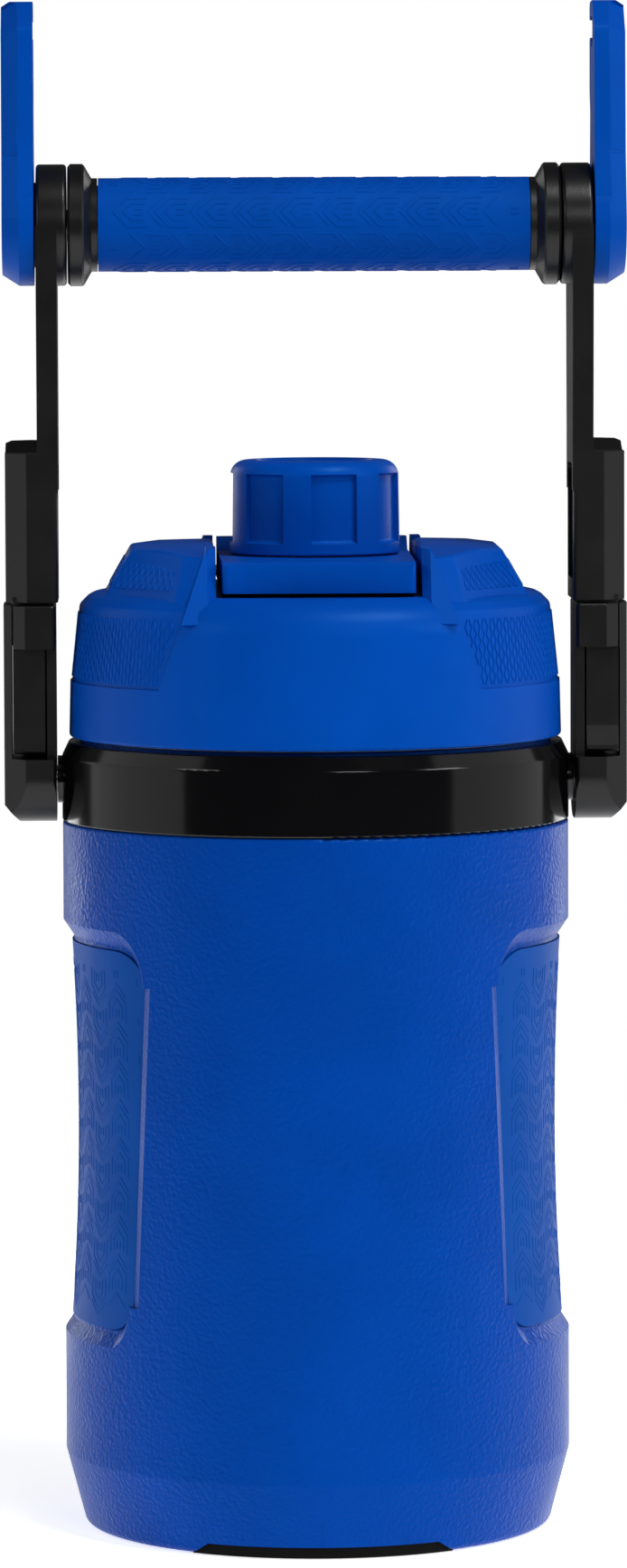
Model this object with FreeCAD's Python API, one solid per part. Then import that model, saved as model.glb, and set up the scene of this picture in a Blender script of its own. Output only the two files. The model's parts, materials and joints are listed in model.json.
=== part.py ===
"""Half-gallon insulated sports jug with a swinging, extending bail handle and fold-down fence hooks.

Units are millimetres. The origin is the centre of the base on the floor, +Z is up and the front is -Y.
Each function makes one sub-part or one pair of sub-parts. Left-hand parts are mirror images in X.
"""
import FreeCAD
import Part
import math
import os

V = FreeCAD.Vector

# ---- Driving dimensions ------------------------------------------------------------------------
BODY_R = 66.0            # outer radius of the insulated body
BASE_R = 60.8            # radius where the base meets the floor
FOOT_R = 56.4            # outer radius of the non-slip foot ring
CHAMFER_Z = 19.6         # top of the tapered base
BODY_TOP_Z = 184.5       # shoulder that carries the collar band
WALL = 2.4               # moulded wall of the outer shell
BAND_TOP_Z = 205.2
COLLAR_R = 61.2          # shell collar inside the band
SHELL_TOP_Z = 206.0
LINER_R = 56.0           # outer radius of the inner liner
LINER_WALL = 2.0
LINER_FLOOR_Z = 16.0
NECK_R = 52.0            # root radius of the neck thread
NECK_BORE_R = 48.6
NECK_TOP_Z = 228.0
NECK_FLANGE_Z = 208.2    # top of the liner flange that covers the shell collar

LID_THREAD_LEAD = 6.0
LID_THREAD_TURNS = 1.1
LID_R = 64.1
LID_BOTTOM_Z = 206.4
LID_DECK_Z = 244.5       # flat deck between the two shoulders
CROWN_Z = 257.3          # highest point of the shoulders
CHANNEL_HALF = 26.2      # half width of the channel that holds the tether plate

CAP_R = 22.2
CAP_BOTTOM_Z = 253.8
CAP_TOP_Z = 278.0
CAP_LEAD = 5.0
CAP_TURNS = 0.9
FLUTES = 7
FLUTE_WIDTH = 32.0       # degrees
SPOUT_R = 14.6           # root radius of the spout thread
SPOUT_BORE_R = 12.5
SPOUT_TOP_Z = 270.5

PIVOT_Z = 195.0          # axis of the bail pivots
HUB_Z = 339.0            # axis of the hand grip and the hooks
HUB_R = 15.7
GRIP_R = 12.1
GRIP_HALF = 55.8         # half length of the soft sleeve
LINK_X = (67.4, 80.9)    # inner and outer faces of the pivot link
LINK_HALF = 14.0         # half width of the pivot link, front to back
LINK_TOP_Z = 240.9
GUIDE_Z = 229.6          # underside of the guide loop at the top of the link
WINDOW_Z = 201.0         # floor of the window under the guide loop
TONGUE_X = (70.2, 78.5)
TONGUE_HALF = 10.4
ARM_X = (66.5, 71.9)
HOUSING_X = (66.7, 80.3)
HOUSING_HALF = 13.4
HOOK_X = (72.4, 80.6)
AXLE_R = 4.0
BEVEL_X = 4.4            # width of the bevel round the outer face of a hook, along X and inwards
BEVEL_IN = 2.8
FIT = 0.1                # gap between nested parts that do not move


# ---- Small geometry helpers --------------------------------------------------------------------
def rounded_wire(corners, place):
    """Closed wire through (a, b, radius) corners, with each corner rounded; place(a, b) gives the 3D point."""
    count = len(corners)
    starts = []
    ends = []
    middles = []
    for i in range(count):
        a, b = corners[i][0], corners[i][1]
        radius = corners[i][2] if len(corners[i]) > 2 else 0.0
        here = V(a, b, 0)
        back = V(corners[i - 1][0], corners[i - 1][1], 0) - here
        ahead = V(corners[(i + 1) % count][0], corners[(i + 1) % count][1], 0) - here
        back.normalize()
        ahead.normalize()
        if radius == 0.0:
            starts.append(here)
            ends.append(here)
            middles.append(None)
            continue
        half = math.acos(max(-1.0, min(1.0, back.dot(ahead)))) / 2
        reach = radius / math.tan(half)
        bisector = back + ahead
        bisector.normalize()
        starts.append(here + back * reach)
        ends.append(here + ahead * reach)
        middles.append(here + bisector * (radius / math.sin(half) - radius))
    edges = []
    for i in range(count):
        if middles[i] is not None:
            arc = Part.Arc(*[place(p.x, p.y) for p in (starts[i], middles[i], ends[i])])
            edges.append(arc.toShape())
        line_from = ends[i]
        line_to = starts[(i + 1) % count]
        if (line_to - line_from).Length > 1e-6:
            edges.append(Part.makeLine(place(line_from.x, line_from.y), place(line_to.x, line_to.y)))
    return Part.Wire(edges)


def revolve(corners, degrees=360.0):
    """Solid of revolution about Z from (r, z, corner radius) points."""
    face = Part.Face(rounded_wire(corners, lambda r, z: V(r, 0, z)))
    return face.revolve(V(0, 0, 0), V(0, 0, 1), degrees)


def prism_x(corners, x0, x1):
    """Prism along X from (y, z, corner radius) points."""
    face = Part.Face(rounded_wire(corners, lambda y, z: V(x0, y, z)))
    return face.extrude(V(x1 - x0, 0, 0))


def prism_z(corners, z0, z1):
    """Prism along Z from (x, y, corner radius) points."""
    face = Part.Face(rounded_wire(corners, lambda x, y: V(x, y, z0)))
    return face.extrude(V(0, 0, z1 - z0))


def loft_z(lower, upper, z0, z1):
    """Straight-sided solid between two polygons of the same number of corners."""
    wires = []
    for corners, z in ((lower, z0), (upper, z1)):
        points = [V(x, y, z) for x, y in corners]
        wires.append(Part.makePolygon(points + points[:1]))
    return Part.makeLoft(wires, True, True)


def box(x0, x1, y0, y1, z0, z1):
    return Part.makeBox(x1 - x0, y1 - y0, z1 - z0, V(x0, y0, z0))


def rod_x(radius, x0, x1, y=0.0, z=0.0):
    return Part.makeCylinder(radius, x1 - x0, V(x0, y, z), V(1, 0, 0))


def rod_z(radius, z0, z1, x=0.0, y=0.0):
    return Part.makeCylinder(radius, z1 - z0, V(x, y, z0))


def mirrored(shape):
    return shape.mirror(V(0, 0, 0), V(1, 0, 0))


def both_sides(shape):
    return shape.fuse(mirrored(shape))


def thread_ridge(root_r, crest_r, base, tip, lead, turns, start_z):
    """Helical ridge with a trapezoidal section, sunk slightly into the wall at root_r."""
    sink = 0.4 if crest_r > root_r else -0.4
    helix = Part.makeHelix(lead, lead * turns, root_r)
    section = [V(root_r - sink, 0, -base / 2), V(crest_r, 0, -tip / 2),
               V(crest_r, 0, tip / 2), V(root_r - sink, 0, base / 2)]
    profile = Part.makePolygon(section + section[:1])
    ridge = Part.Wire(helix.Edges).makePipeShell([profile], True, True)
    ridge.translate(V(0, 0, start_z))
    return ridge


def safe_fillet(shape, radius, wanted):
    """Rounds the edges that wanted(edge) picks, or leaves the shape as it is where they cannot be rounded."""
    edges = [e for e in shape.Edges if wanted(e)]
    try:
        rounded = shape.makeFillet(radius, edges)
        if rounded.isValid() and len(rounded.Solids) == len(shape.Solids):
            return rounded
    except Part.OCCError:
        pass
    return shape


def export(name, shape):
    """Writes one node, as a compound when it holds several solids."""
    solids = [s for s in shape.Solids if s.Volume > 0.01]
    out = solids[0] if len(solids) == 1 else Part.makeCompound(solids)
    print("%-22s solids %d  volume %9.1f  valid %s" % (name, len(solids), out.Volume, out.isValid()))
    out.exportStep("parts/%s.step" % name)


# ---- Body --------------------------------------------------------------------------------------
RECESS_TOP_Z = 154.6
RECESS_FOOT_Z = 54.4
PAD_TOP_R = 63.7         # pad face radius at its top, waist and foot
PAD_WAIST_R = 62.2
PAD_FOOT_R = 64.2
WAIST_Z = 105.0
PAD_PROUD = 0.5          # how far the pad stands out of the recess floor
PAD_THICK = 1.6
PAD_HALF_TOP = 44.4      # half angle that a pad covers at its top and its foot, in degrees
PAD_HALF_FOOT = 37.3
RECESS_MARGIN = 0.7      # degrees of bare floor beside a pad
WALL_RUN = 1.5           # how far the recess walls run along the surface for each millimetre of depth
WALL_LEAN = 9.2          # the same slope of the side walls, in degrees over 7 mm of depth
CORNER_TOP = 9.6         # corner radii of the recess floor
CORNER_FOOT = 8.0


def waist_solid(inset, flare):
    """Solid of revolution with the waisted profile of the pads, shrunk by inset; flare opens its ends."""
    low = RECESS_FOOT_Z
    high = RECESS_TOP_Z
    arc = Part.Arc(V(PAD_FOOT_R - inset, 0, low), V(PAD_WAIST_R - inset, 0, WAIST_Z),
                   V(PAD_TOP_R - inset, 0, high))
    out_low = V(PAD_FOOT_R - inset + flare / WALL_RUN, 0, low - flare)
    out_high = V(PAD_TOP_R - inset + flare / WALL_RUN, 0, high + flare)
    edges = [Part.makeLine(V(0, 0, out_low.z), out_low), Part.makeLine(out_low, arc.StartPoint),
             arc.toShape(), Part.makeLine(arc.EndPoint, out_high),
             Part.makeLine(out_high, V(0, 0, out_high.z)),
             Part.makeLine(V(0, 0, out_high.z), V(0, 0, out_low.z))]
    return Part.Face(Part.Wire(edges)).revolve(V(0, 0, 0), V(0, 0, 1), 360)


def side_window(half_foot, half_top, low, high, lean):
    """Wedge on the +X side between two half angles; past radius 63 its walls lean outwards by lean degrees."""
    rings = []
    for half in (half_foot, half_top):
        a = math.radians(half)
        b = math.radians(half + lean)
        inner = (63.0 * math.cos(a), 63.0 * math.sin(a))
        outer = (70.0 * math.cos(b), 70.0 * math.sin(b))
        rings.append([(20.0, -inner[1]), (inner[0], -inner[1]), (outer[0], -outer[1]), (95.0, -outer[1]),
                      (95.0, outer[1]), (outer[0], outer[1]), (inner[0], inner[1]), (20.0, inner[1])])
    return loft_z(rings[0], rings[1], low, high)


def recess_window(margin, flare):
    """Wedge with the side walls of one grip recess, which reaches flare beyond its flat floor."""
    return side_window(PAD_HALF_FOOT + 1.2 + margin, PAD_HALF_TOP + margin,
                       RECESS_FOOT_Z - flare, RECESS_TOP_Z + flare, WALL_LEAN)


def corner_cone(angle, z, radius):
    """Cone that rounds one corner of the recess; its walls slope like the recess walls."""
    out = V(math.cos(math.radians(angle)), math.sin(math.radians(angle)), 0)
    low_r = radius - 2.2 * WALL_RUN
    high_r = radius + 6.8 * WALL_RUN
    return Part.makeCone(low_r, high_r, 9.0, out * 61.0 + V(0, 0, z), out)


def recess_pieces():
    """The overlapping cuts that make one grip recess with rounded corners, on the +X side."""
    keep = waist_solid(PAD_PROUD, 10.0)
    window = recess_window(RECESS_MARGIN, 10.0)
    top_z = RECESS_TOP_Z - CORNER_TOP
    foot_z = RECESS_FOOT_Z + CORNER_FOOT
    top_angle = PAD_HALF_TOP + RECESS_MARGIN - math.degrees(CORNER_TOP / 63.0) - 0.3
    foot_angle = PAD_HALF_FOOT + 1.2 + RECESS_MARGIN - math.degrees(CORNER_FOOT / 63.0) + 0.3
    pieces = [window.common(box(0, 100, -80, 80, foot_z, top_z)),
              side_window(top_angle, top_angle, top_z - 1.0, RECESS_TOP_Z + 9.5, 0.0),
              side_window(foot_angle, foot_angle, RECESS_FOOT_Z - 9.5, foot_z + 1.0, 0.0)]
    for side in (-1, 1):
        pieces.append(corner_cone(side * top_angle, top_z, CORNER_TOP))
        pieces.append(corner_cone(side * foot_angle, foot_z, CORNER_FOOT))
    return [piece.cut(keep) for piece in pieces]


def pad_blank(inset, margin):
    """Curved slab from the back of a pad out to beyond its face, on the +X side."""
    low = RECESS_FOOT_Z + 1.0 - margin
    high = RECESS_TOP_Z - 1.2 + margin
    foot = (PAD_FOOT_R + 4) * math.sin(math.radians(PAD_HALF_FOOT)) + margin
    top = (PAD_TOP_R + 1) * math.sin(math.radians(PAD_HALF_TOP)) + margin
    outline = [(-foot, low, 7.0), (foot, low, 7.0), (top, high, 9.0), (-top, high, 9.0)]
    return prism_x(outline, 20.0, 90.0).cut(waist_solid(inset, 10.0))


def make_shell():
    outer = revolve([(0, 3.0), (FOOT_R + 0.1, 3.0), (FOOT_R + 0.1, 0), (BASE_R, 0, 2.2),
                     (BODY_R, CHAMFER_Z, 3.0),
                     (BODY_R - 0.1, BODY_TOP_Z, 0.8), (COLLAR_R, BODY_TOP_Z), (COLLAR_R, SHELL_TOP_Z),
                     (0, SHELL_TOP_Z)])
    for piece in recess_pieces():
        outer = outer.cut(piece).cut(mirrored(piece))
    pocket = pad_blank(PAD_THICK + FIT, 0.2)
    outer = outer.cut(both_sides(pocket))
    outer = outer.cut(shell_cavity(0.0))
    outer = outer.cut(rod_z(NECK_R + 0.3, 200, 210)).cut(rod_z(9.2, 0, 10))
    notch = foot_notch(0.0)
    outer = outer.cut(notch).cut(notch.mirror(V(0, 0, 0), V(0, 1, 0)))
    for side in (-1, 1):
        outer = outer.cut(Part.makeCylinder(5.3, 20, V(side * 50, 0, PIVOT_Z), V(side, 0, 0)))
    export("outer_shell", outer)


def foot_notch(gap):
    """Shallow cut-out in the front of the base rim, shrunk by gap at its ends and top."""
    foot = 33.5 - gap
    top = 29.5 - gap
    return loft_z([(-foot, -70), (foot, -70), (foot, -45), (-foot, -45)],
                  [(-top, -70), (top, -70), (top, -45), (-top, -45)], -0.01, 3.0 - gap)


def make_foot_ring():
    """Soft ring under the base, with one lug in each cut-out of the rim."""
    ring = rod_z(FOOT_R, 0.0, 2.9).cut(rod_z(48.0, -1, 4))
    lug = foot_notch(0.2).common(rod_z(BASE_R - 0.4, 0.0, 2.8)).cut(rod_z(50.0, -1, 4))
    ring = ring.fuse(lug).fuse(lug.mirror(V(0, 0, 0), V(0, 1, 0))).removeSplitter()
    export("foot_ring", ring)


def shell_cavity(gap):
    """The space inside the shell walls, shrunk by gap."""
    floor = 3.0 + WALL + gap
    space = revolve([(0, floor), (57.5 - gap, floor, 3.0), (BODY_R - WALL - gap, CHAMFER_Z + 1, 3.0),
                     (BODY_R - WALL - gap, BODY_TOP_Z - WALL - gap),
                     (COLLAR_R - WALL - gap, BODY_TOP_Z - WALL - gap),
                     (COLLAR_R - WALL - gap, SHELL_TOP_Z - WALL - gap),
                     (0, SHELL_TOP_Z - WALL - gap)])
    inset = PAD_THICK + FIT + 1.6 + gap
    recess = recess_window(RECESS_MARGIN + 3.0, 14.0).cut(waist_solid(inset, 14.0))
    return space.cut(both_sides(recess))


def make_foam():
    foam = shell_cavity(FIT).cut(liner_blank(FIT))
    foam = foam.cut(rod_z(9.4, 0, 10))
    for side in (-1, 1):
        pocket = Part.makeCylinder(9.6, 20, V(side * 54.5, 0, PIVOT_Z), V(side, 0, 0))
        foam = foam.cut(pocket)
    export("foam_core", foam)


def liner_blank(gap):
    """Outside of the liner below its flange, as a solid, grown by gap."""
    return revolve([(0, LINER_FLOOR_Z - gap), (LINER_R + gap, LINER_FLOOR_Z - gap, 12.0),
                    (LINER_R + gap, 186.0, 5.0), (NECK_R + gap, 192.5, 4.0),
                    (NECK_R + gap, SHELL_TOP_Z), (0, SHELL_TOP_Z)])


def make_liner():
    inner_r = LINER_R - LINER_WALL
    body = liner_blank(0.0).fuse(rod_z(NECK_R, 195, NECK_TOP_Z))
    flange = rod_z(COLLAR_R - 0.3, SHELL_TOP_Z + 0.05, NECK_FLANGE_Z)
    body = body.fuse(flange)
    bore = revolve([(0, LINER_FLOOR_Z + LINER_WALL), (inner_r, LINER_FLOOR_Z + LINER_WALL, 10.0),
                    (inner_r, 185.5, 5.0), (NECK_BORE_R, 194.0, 4.0), (NECK_BORE_R, 240), (0, 240)])
    body = body.cut(bore)
    ridge = thread_ridge(NECK_R, NECK_R + 1.8, 3.8, 1.8, LID_THREAD_LEAD, LID_THREAD_TURNS, 213.5)
    body = body.fuse(ridge)
    body = safe_fillet(body, 0.8, lambda e: abs(e.BoundBox.ZMin - NECK_TOP_Z) < 0.01)
    export("inner_liner", body)


def make_pads():
    pad = pad_blank(PAD_THICK, 0.0).common(waist_solid(0.0, 10.0))
    pad = safe_fillet(pad, 0.5, lambda e: e.BoundBox.Center.x > 0 and on_pad_face(e))
    export("grip_pad_right", pad)
    export("grip_pad_left", mirrored(pad))


def on_pad_face(edge):
    """True for the edges round the outer face of a pad."""
    distances = []
    for vertex in edge.Vertexes:
        distances.append(math.hypot(vertex.X, vertex.Y))
    return min(distances) > 62.0 and edge.Length > 3.0


def make_band():
    band = revolve([(COLLAR_R + 0.2, BODY_TOP_Z + 0.1), (BODY_R, BODY_TOP_Z + 0.1, 0.5), (BODY_R, 201.4, 1.5),
                    (64.2, BAND_TOP_Z, 0.6), (COLLAR_R + 0.2, BAND_TOP_Z)])
    for side in (-1, 1):
        x0 = 64.0 if side > 0 else -67.15
        band = band.fuse(rod_x(6.2, x0, x0 + 3.15, 0, PIVOT_Z))
    for side in (-1, 1):
        band = band.cut(Part.makeCylinder(5.1, 20, V(side * 50, 0, PIVOT_Z), V(side, 0, 0)))
    export("collar_band", band)


def make_base_plug():
    plug = rod_z(9.1, 3.2, 9.0).fuse(rod_z(12.5, 1.4, 2.95))
    plug = plug.fuse(rod_z(9.1, 2.9, 3.3))
    slot = box(-6, 6, -0.8, 0.8, 1.0, 2.2)
    export("base_plug", plug.cut(slot))


def make_pivots():
    """Shoulder bolts, and the anchors inside the collar that they screw into."""
    anchor = rod_x(5.0, 56.0, 67.1, 0, PIVOT_Z).fuse(rod_x(7.4, 55.8, 57.8, 0, PIVOT_Z))
    anchor = anchor.cut(rod_x(2.1, 50, 70, 0, PIVOT_Z))
    bolt = rod_x(2.0, 58.0, 68.0, 0, PIVOT_Z).fuse(rod_x(3.6, 67.2, 77.4, 0, PIVOT_Z))
    bolt = bolt.fuse(rod_x(5.0, 77.3, 79.6, 0, PIVOT_Z))
    socket = prism_x([(2.3 * math.cos(math.radians(60 * k)), PIVOT_Z + 2.3 * math.sin(math.radians(60 * k)))
                      for k in range(6)], 78.1, 80.0)
    bolt = bolt.cut(socket)
    export("pivot_anchors", Part.makeCompound([anchor, mirrored(anchor)]))
    export("pivot_bolts", Part.makeCompound([bolt, mirrored(bolt)]))


# ---- Lid ---------------------------------------------------------------------------------------
LID_PLATE_Z = 230.1      # underside of the lid's inner plate
LID_SKIRT_R = 57.2
LID_FEMALE_R = 54.3
CREASE_LOW = (40.5, 222.5)
CREASE_HIGH = (29.8, 253.4)
PIN_Y = 34.0
PIN_Z = 247.6
CAP_LIFT = CAP_LEAD


def make_gasket():
    ring = revolve([(49.2, NECK_TOP_Z + 0.1, 0.5), (53.4, NECK_TOP_Z + 0.1, 0.5),
                    (53.4, LID_PLATE_Z - 0.1, 0.5), (49.2, LID_PLATE_Z - 0.1, 0.5)])
    export("lid_gasket", ring)


def dome(inset):
    """Round lid cover without its shoulders, shrunk by inset."""
    low = LID_BOTTOM_Z if inset == 0 else LID_BOTTOM_Z - 5
    deck = LID_DECK_Z - inset
    r = LID_R - inset
    arc = Part.Arc(V(r - 0.7, 0, 234.0 - inset / 2), V(r - 2.9, 0, 241.0 - inset), V(r - 9.0, 0, deck))
    edges = [Part.makeLine(V(0, 0, low), V(r, 0, low)), Part.makeLine(V(r, 0, low), arc.StartPoint),
             arc.toShape(), Part.makeLine(arc.EndPoint, V(0, 0, deck)),
             Part.makeLine(V(0, 0, deck), V(0, 0, low))]
    return Part.Face(Part.Wire(edges)).revolve(V(0, 0, 0), V(0, 0, 1), 360)


def side_panel_tool():
    """What the cover loses on its +X side, between the slanting creases, for one textured panel."""
    ring = revolve([(63.25, 221.0), (61.2, 240.8, 2.0), (58.4, 243.6, 1.5), (54.0, 244.55), (54.0, 250.0),
                    (75.0, 250.0), (75.0, 221.0)])
    slope = (CREASE_LOW[0] - CREASE_HIGH[0]) / (CREASE_HIGH[1] - CREASE_LOW[1])
    x_low = CREASE_LOW[0] + slope * (CREASE_LOW[1] - 215.0)
    x_high = CREASE_LOW[0] + slope * (CREASE_LOW[1] - 260.0)
    side = Part.Face(Part.makePolygon([V(x_low, -80, 215), V(90, -80, 215), V(90, -80, 260),
                                       V(x_high, -80, 260), V(x_low, -80, 215)])).extrude(V(0, 160, 0))
    return ring.common(side)


def shoulder(inset):
    """One raised shoulder of the lid on the +X side, shrunk by inset."""
    lean = 6.2 / 11.0
    foot = 243.0 - 3 * (inset > 0)
    top = 259.0
    rings = []
    for z in (foot, top):
        s = lean * (z - LID_DECK_Z) + inset
        wall = CHANNEL_HALF + inset
        rings.append([(wall, -50.5 + s), (36.5 - 0.35 * s, -45.5 + s), (54.0 - s, -20.5 + 0.25 * s),
                      (54.0 - s, 20.5 - 0.25 * s), (36.5 - 0.35 * s, 45.5 - s), (wall, 50.5 - s)])
    blank = loft_z(rings[0], rings[1], foot, top)
    crown_x = rod_x(312.0 - inset, -100, 100, 0, CROWN_Z - 312.0)
    crown_y = Part.makeCylinder(672.0 - inset, 200, V(0, -100, CROWN_Z - 672.0), V(0, 1, 0))
    return blank.common(crown_x).common(crown_y)


def apron():
    """Sloping front of the lid between the channel and the slanting crease, on the +X side, front and back."""
    outline = [(-54.9, 238.0), (-43.2, 256.6, 3.0), (-30.0, 256.9), (-30.0, 238.0)]
    front = prism_x(outline, CHANNEL_HALF, 45.0)
    slope = (CREASE_LOW[0] - CREASE_HIGH[0]) / (CREASE_HIGH[1] - CREASE_LOW[1])
    x_low = CREASE_LOW[0] + slope * (CREASE_LOW[1] - 230.0)
    x_high = CREASE_LOW[0] + slope * (CREASE_LOW[1] - 260.0)
    side = Part.Face(Part.makePolygon([V(20, -70, 230), V(x_low, -70, 230), V(x_high, -70, 260),
                                       V(20, -70, 260), V(20, -70, 230)])).extrude(V(0, 60, 0))
    front = front.common(side)
    return front.fuse(front.mirror(V(0, 0, 0), V(0, 1, 0)))


def channel_bevel():
    """Wedge that bevels the front edge of the channel on the +X side, where the apron meets it."""
    low = V(CHANNEL_HALF, -54.9, 238.0)
    high = V(CHANNEL_HALF, -43.2, 256.6)
    along = (high - low).normalize()
    into = V(0, along.z, -along.y)
    size = 2.2
    corners = [low + V(size, 0, 0), low + into * size, low - V(size, 0, 0) - into * size]
    wedge = Part.Face(Part.makePolygon(corners + corners[:1])).extrude(along * 24.0)
    return wedge.fuse(wedge.mirror(V(0, 0, 0), V(0, 1, 0)))


def make_lid_shell():
    cover = dome(0.0).cut(both_sides(side_panel_tool()))
    hump = shoulder(0.0)
    hump = safe_fillet(hump, 1.6, lambda e: e.BoundBox.ZMax > 250)
    cover = cover.fuse(both_sides(hump)).fuse(both_sides(apron())).removeSplitter()
    cover = cover.cut(both_sides(channel_bevel()).cut(dome(0.0)))
    cover = cover.cut(dome(WALL))
    cover = cover.cut(both_sides(shoulder(WALL).cut(box(0, 40, 24, 44, 240, 260))))
    cover = cover.cut(rod_z(SPOUT_R + 0.3, 230, 260))
    slot = rod_x(1.75, 20, 31.0, PIN_Y, PIN_Z).fuse(rod_x(1.75, 20, 31.0, PIN_Y, PIN_Z + CAP_LIFT + 0.2))
    slot = slot.fuse(box(20, 31.0, PIN_Y - 1.75, PIN_Y + 1.75, PIN_Z, PIN_Z + CAP_LIFT + 0.2))
    cover = cover.cut(both_sides(slot))
    cover = safe_fillet(cover, 0.8, lambda e: abs(e.BoundBox.ZMax - LID_BOTTOM_Z) < 0.01)
    export("lid_shell", cover)


def make_lid_inner():
    inner = revolve([(0, LID_PLATE_Z), (LID_FEMALE_R, LID_PLATE_Z), (LID_FEMALE_R, 209.4), (LID_SKIRT_R, 209.4),
                     (LID_SKIRT_R, LID_PLATE_Z + 2.2), (0, LID_PLATE_Z + 2.2)])
    rim = rod_z(60.8, LID_PLATE_Z + 0.2, LID_PLATE_Z + 2.2)
    inner = inner.fuse(rim).cut(rod_z(SPOUT_R + 0.2, 225, 240))
    ridge = thread_ridge(LID_FEMALE_R, LID_FEMALE_R - 1.8, 2.9, 1.4, LID_THREAD_LEAD, LID_THREAD_TURNS - 0.05,
                         213.5 - LID_THREAD_LEAD / 2)
    export("lid_inner", inner.fuse(ridge))


def make_lid_foam():
    foam = revolve([(20.6, 232.5), (59.6, 232.5), (59.6, 234.2), (49.6, 241.9), (20.6, 241.9)])
    export("lid_foam", foam)


def make_spout():
    spout = revolve([(SPOUT_BORE_R, LID_PLATE_Z), (SPOUT_R, LID_PLATE_Z), (SPOUT_R, 233.5), (20.2, 233.5),
                     (20.2, 235.5), (SPOUT_R, 235.5), (SPOUT_R, SPOUT_TOP_Z, 0.9),
                     (SPOUT_BORE_R, SPOUT_TOP_Z, 0.9)])
    ridge = thread_ridge(SPOUT_R, SPOUT_R + 1.3, 2.7, 1.2, CAP_LEAD, CAP_TURNS, 257.5)
    export("spout", spout.fuse(ridge))
    washer = revolve([(15.0, 232.4), (19.8, 232.4), (19.8, 233.4), (15.0, 233.4)])
    export("spout_seal", washer)


# ---- Tether plate and cap ----------------------------------------------------------------------
PLATE_TOP_Z = 253.4
PLATE_FOOT_Z = 245.6
PLATE_HOLE_R = 19.0


def make_tether():
    outline = [(-24.6, -49.0, 1.5), (24.6, -49.0, 1.5), (25.2, 42.0, 3.0), (-25.2, 42.0, 3.0)]
    plate = prism_z(outline, PLATE_FOOT_Z, 257.0)
    side = Part.makePolygon([V(-30, -60, 240), V(-30, -60, PLATE_TOP_Z - 0.6),
                             V(-30, -47.8, PLATE_TOP_Z - 0.6),
                             V(-30, -46.2, PLATE_TOP_Z), V(-30, 23.5, PLATE_TOP_Z), V(-30, 31, 256.6),
                             V(-30, 60, 256.0), V(-30, 60, 240), V(-30, -60, 240)])
    plate = plate.common(Part.Face(side).extrude(V(60, 0, 0)))
    under = prism_z([(-22.0, -46.2, 2.0), (22.0, -46.2, 2.0), (22.0, 29.0, 2.0), (-22.0, 29.0, 2.0)],
                    240, 249.4)
    plate = plate.cut(under).cut(rod_z(PLATE_HOLE_R, 240, 260))
    plate = plate.cut(rod_x(1.55, -30, 30, PIN_Y, PIN_Z))
    plate = safe_fillet(plate, 0.7, lambda e: e.BoundBox.YMax < -45 and e.BoundBox.ZMin > 252)
    export("tether_plate", plate)
    pin = rod_x(1.5, -29.6, 29.6, PIN_Y, PIN_Z)
    export("tether_pin", pin)


def on_flute_edge(edge):
    """True for the upright edges where a flute meets the round side of the cap."""
    upright = edge.BoundBox.ZMax - edge.BoundBox.ZMin > 12.0
    reach = min(math.hypot(v.X, v.Y) for v in edge.Vertexes)
    return upright and reach > CAP_R - 0.6


def make_cap():
    shell = revolve([(0, CAP_BOTTOM_Z), (CAP_R, CAP_BOTTOM_Z, 0.5), (CAP_R - 0.35, CAP_TOP_Z, 4.2),
                     (0, CAP_TOP_Z)])
    shell = shell.cut(rod_z(20.0, CAP_BOTTOM_Z - 1, CAP_TOP_Z - 2.2))
    flute = revolve([(CAP_R - 1.4, 257.2, 0.8), (CAP_R + 3, 256.0), (CAP_R + 3, 275.6),
                     (CAP_R - 1.55, 274.4, 1.2)], FLUTE_WIDTH)
    flute.rotate(V(0, 0, 0), V(0, 0, 1), -90 + 12.5 - FLUTE_WIDTH / 2)
    for k in range(FLUTES):
        tool = flute.copy()
        tool.rotate(V(0, 0, 0), V(0, 0, 1), 360.0 * k / FLUTES)
        shell = shell.cut(tool)
    shell = safe_fillet(shell, 0.5, on_flute_edge)
    dish = revolve([(0, CAP_TOP_Z - 0.7), (15.0, CAP_TOP_Z - 0.7), (15.8, CAP_TOP_Z + 1), (0, CAP_TOP_Z + 1)])
    export("cap_shell", shell.cut(dish))
    liner = revolve([(0, 246.4), (18.5, 246.4), (18.5, 247.1), (17.9, 247.1), (17.9, 249.0), (18.5, 249.0),
                     (18.5, CAP_BOTTOM_Z), (19.85, CAP_BOTTOM_Z + 1.0), (19.85, 275.5), (0, 275.5)])
    liner = liner.cut(rod_z(16.3, 240, 273.0))
    ridge = thread_ridge(16.3, 15.0, 2.1, 1.0, CAP_LEAD, CAP_TURNS, 257.5 - CAP_LEAD / 2)
    export("cap_liner", liner.fuse(ridge))
    export("cap_gasket", revolve([(11.6, 270.8), (16.0, 270.8, 0.4), (16.0, 272.8), (11.6, 272.8)]))
    ring = revolve([(18.05, 247.2), (20.3, 247.2), (20.3, 248.9), (18.05, 248.9)])
    export("cap_retainer", ring)


# ---- Bail handle -------------------------------------------------------------------------------
CHAMFER_X = 5.7
CHAMFER_Y = 6.0


def chamfered_column(x_in, x_out, half, z0, z1):
    """Column with its two outer vertical edges cut off, as seen from above."""
    return prism_z([(x_in, -half, 1.0), (x_out - CHAMFER_X, -half, 0.8), (x_out, -half + CHAMFER_Y, 0.8),
                    (x_out, half - CHAMFER_Y, 0.8), (x_out - CHAMFER_X, half, 0.8), (x_in, half, 1.0)], z0, z1)


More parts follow.
